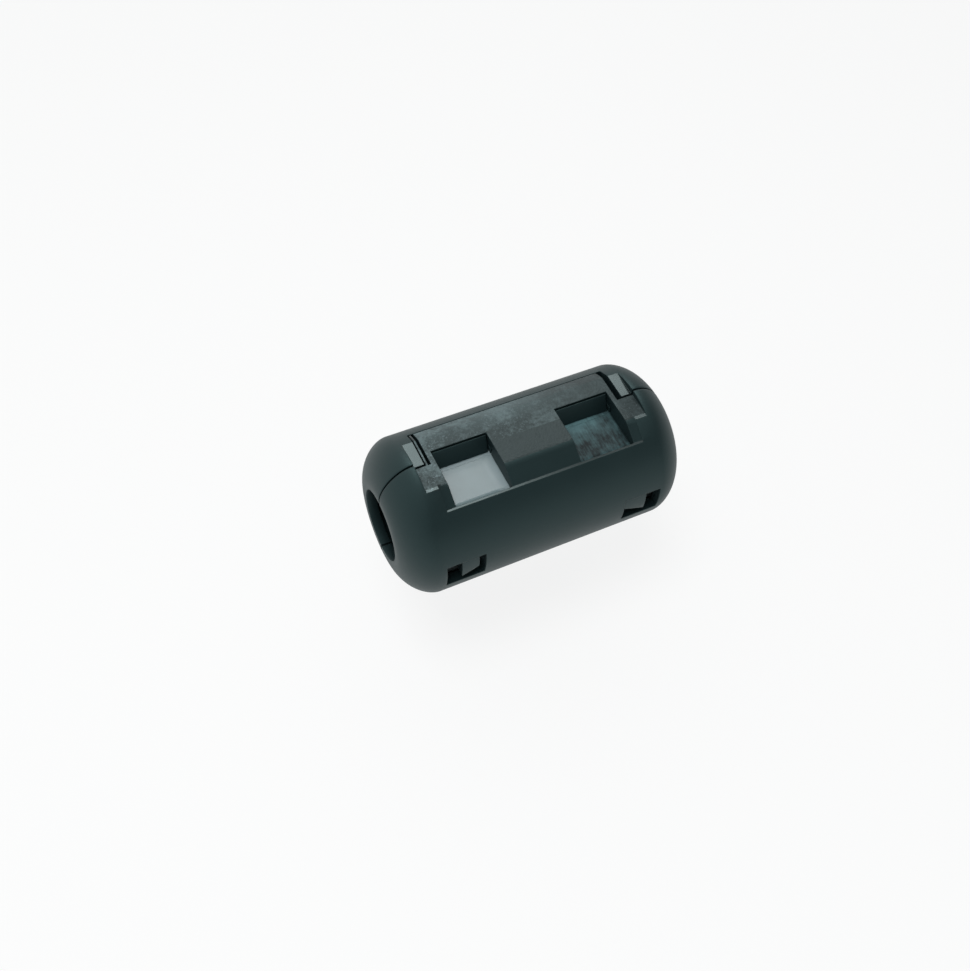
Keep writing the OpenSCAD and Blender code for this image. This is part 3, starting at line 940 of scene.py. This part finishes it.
# %% [markdown]
# ## The studio
# The floor is a plain pale table. It lies a little below the lowest point that the cover reaches as
# it swings open, so the bead hangs above it as it would on its cable. To the camera the table is
# almost white. A Light Path node tells which rays come from the camera, and Is Glossy Ray and Is
# Transmission Ray let shiny things mirror half of that white. The table still takes a shadow.

# %% The floor
bpy.context.scene.view_settings.view_transform = "Standard"
floor_r = 4  # metres
swing_r = body_r - hinge_z
floor_z = hinge_z - swing_r - mm
bpy.ops.mesh.primitive_circle_add(vertices=96, radius=floor_r, fill_type="NGON",
                                  location=(0, 0, floor_z))
floor = bpy.context.object
floor.name = "floor"
floor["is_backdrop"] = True


def in_sight(tree, direct, mirrored):
    """How white a ray sees the backdrop: direct from the camera, mirrored in a shine, else 0."""
    path = add(tree, "ShaderNodeLightPath").outputs
    shiny = add(tree, "ShaderNodeMath",
                {0: path["Is Glossy Ray"], 1: path["Is Transmission Ray"]}, operation="ADD")
    shiny = add(tree, "ShaderNodeMath", {0: shiny, 1: mirrored}, operation="MULTIPLY")
    return add(tree, "ShaderNodeMath", {0: path["Is Camera Ray"], 1: direct, 2: shiny},
               operation="MULTIPLY_ADD")


table_top, tree, shader, coords = start_material("pale_table", table_ior)
shader.inputs["Base Color"].default_value = linear("#eef0f0")
shader.inputs["Roughness"].default_value = 0.7
floor.data.materials.append(table_top)
white = add(tree, "ShaderNodeEmission", {"Strength": 1})
surface = add(tree, "ShaderNodeMixShader", {"Fac": in_sight(tree, 0.8, 0.45), 1: shader, 2: white})
tree.links.new(surface.outputs[0], tree.nodes["Material Output"].inputs["Surface"])
print("floor at", round(floor_z / mm, 2), "mm")

# %% [markdown]
# The world is the room. It is brightest up at the back left and dim in front on the right, which
# shapes the round body, so the dot product of each direction with a fixed one sets its grey. Low
# down, the backdrop is about as white as the floor, so that the two meet softly.

# %% The room
world = bpy.data.worlds.new("studio")
bpy.context.scene.world = world
world.use_nodes = True
tree = world.node_tree
direction = add(tree, "ShaderNodeTexCoord").outputs["Generated"]
towards = add(tree, "ShaderNodeVectorMath",
              {0: direction, 1: (-0.5, 0.6, 0.65)}, operation="DOT_PRODUCT")
bright_side = add(tree, "ShaderNodeMapRange",
                  {"Value": towards.outputs["Value"], "From Min": -0.2, "From Max": 0.9})
walls = add(tree, "ShaderNodeMix",
            {"Factor": bright_side, 6: linear("#676f6f"), 7: linear("#f3f3f3")}, data_type="RGBA")
height = add(tree, "ShaderNodeSeparateXYZ", {0: direction}).outputs["Z"]
backdrop = add(tree, "ShaderNodeMapRange",
               {"Value": height, "From Min": 0.12, "From Max": 0.35, "To Min": 1, "To Max": 0})
backdrop = add(tree, "ShaderNodeMath", {0: backdrop, 1: in_sight(tree, 1, 1)}, operation="MULTIPLY")
walls = add(tree, "ShaderNodeMix",
            {"Factor": backdrop, 6: walls.outputs[2], 7: linear("#f5f5f5")}, data_type="RGBA")
tree.links.new(walls.outputs[2], tree.nodes["Background"].inputs["Color"])
print("made the world", world.name)

# %% [markdown]
# Two soft square lamps hang over the bead, and each does one job. The first stands where the flats
# mirror it towards the camera, so it makes the shine and no shadows. The second lights the ferrite
# at the bottom of the windows from almost overhead, and makes the shadows but no shine.

# %% The lamps
def lamp(name, place, size, power):
    """A square soft lamp that shines at the bead; its place and size are in metres."""
    light = bpy.data.lights.new(name, "AREA")
    light.size, light.energy = size, power
    holder = bpy.data.objects.new(name, light)
    holder.location = place
    holder.rotation_euler = (-Vector(place)).to_track_quat("-Z", "Y").to_euler()
    bpy.context.scene.collection.objects.link(holder)
    print(name, "hangs", round(Vector(place).length, 2), "m away")
    return holder


lamp("mirrored lamp", (0.08, 0.18, 0.29), 0.16, 0.37).visible_diffuse = False
lamp("soft lamp", (-0.085, -0.05, 0.32), 0.12, 0.55).visible_glossy = False

# %% [markdown]
# ## The camera
# The camera looks down at the bead from in front and to the left, from about 13 cm away, leaning
# slightly to one side, with a lens a little wider than the eye's view.

# %% Camera
camera = bpy.data.objects.new("camera", bpy.data.cameras.new("camera"))
bpy.context.scene.collection.objects.link(camera)
bpy.context.scene.camera = camera
camera.data.lens = 39.6
eye, target = Vector((-41.36, -65.01, 106.55)) * mm, Vector((-4.63, 0.35, 0)) * mm
level = (target - eye).to_track_quat("-Z", "Y")
lean = Matrix.Rotation(math.radians(-5.06), 3, target - eye)
camera.matrix_world = Matrix.LocRotScale(eye, lean.to_quaternion() @ level, None)
print("the camera is", round((target - eye).length / mm, 1), "mm from what it looks at")

# %% [markdown]
# ## The size of the finished pieces
# The last cell prints the box of the finished pieces.

# %% Print the box of the finished pieces
low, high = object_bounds()
print("visual box:", [round(c, 5) for c in (*low, *high)])
